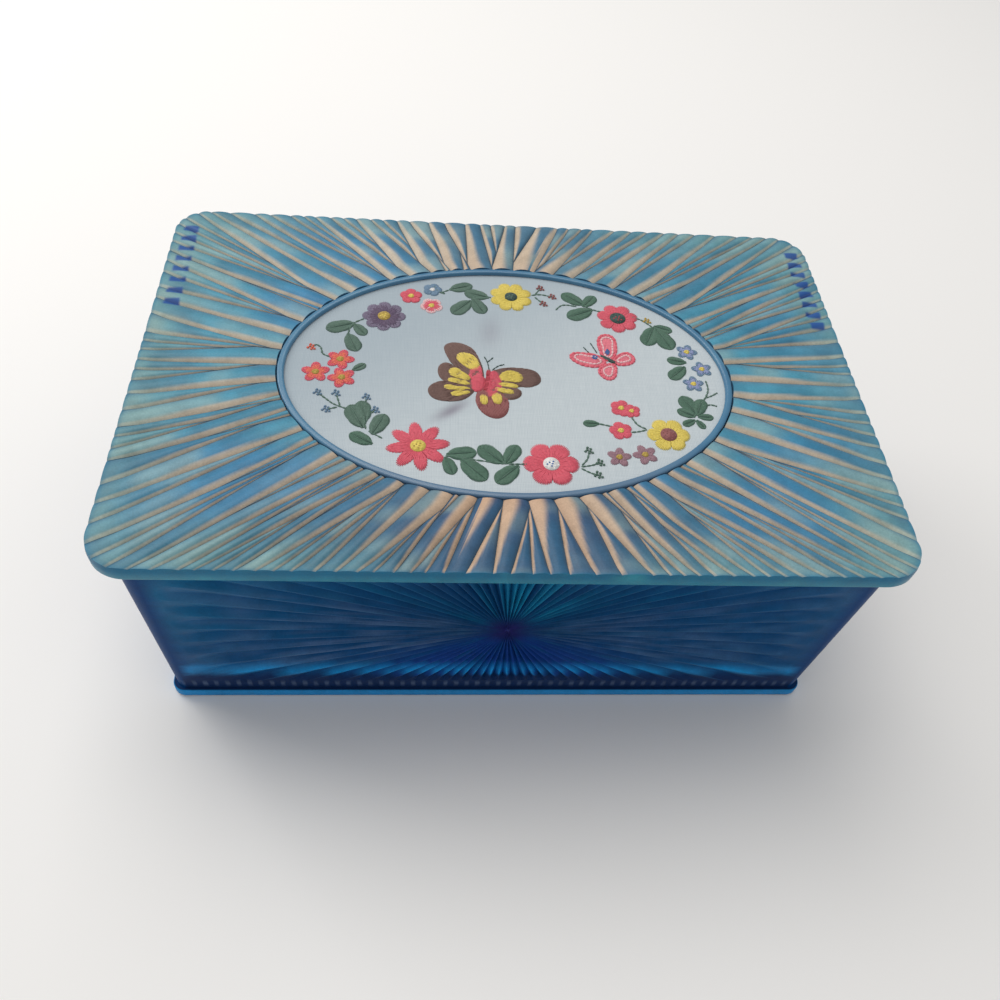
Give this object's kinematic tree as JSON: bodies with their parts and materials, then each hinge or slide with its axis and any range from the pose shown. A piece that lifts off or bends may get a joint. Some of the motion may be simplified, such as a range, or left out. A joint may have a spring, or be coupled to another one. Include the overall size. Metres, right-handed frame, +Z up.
{
  "type": "trinket box",
  "caption": "Low rectangular trinket box in moulded plastic with a fluted, hinged lid that carries an embroidered oval under a thin ring.",
  "frame": {"origin": "centre of the base, on the surface that the box stands on", "axes": "+Z up, +X along the box to the right as seen from the front, -Y towards the front, the hinge is at +Y"},
  "size_m": [0.165, 0.11, 0.063],
  "materials": {
    "body_plastic": "deep blue translucent moulded plastic, glossy",
    "lid_plastic": "blue translucent moulded plastic with a warm tint on the flutes, glossy",
    "ring_plastic": "dark blue moulded plastic, glossy",
    "cloth": "pale blue-grey plain weave",
    "thread": "stranded embroidery thread in several colours, satin stitch",
    "wadding": "thin white wadding",
    "card": "grey-brown pressed paper board, which stands here as wood fibre",
    "pin_metal": "drawn brass wire",
    "lining": "dark blue flocked felt on card"
  },
  "bodies": {
    "box": {"box_body": "body_plastic", "floor_lining": "lining", "hinge_pin_left": "pin_metal", "hinge_pin_right": "pin_metal"},
    "lid": {"lid_frame": "lid_plastic", "oval_ring": "ring_plastic", "embroidered_cloth": "cloth", "embroidered_flowers": "thread", "embroidered_leaves": "thread", "embroidered_butterflies": "thread", "cloth_wadding": "wadding", "backing_card": "card"}
  },
  "joints": [
    {"name": "lid_hinge", "type": "hinge", "parent": "box", "child": "lid", "pos_m": [0, 0.0466, 0.05], "axis": [-1, 0, 0], "range_deg": [0, 100]}
  ]
}
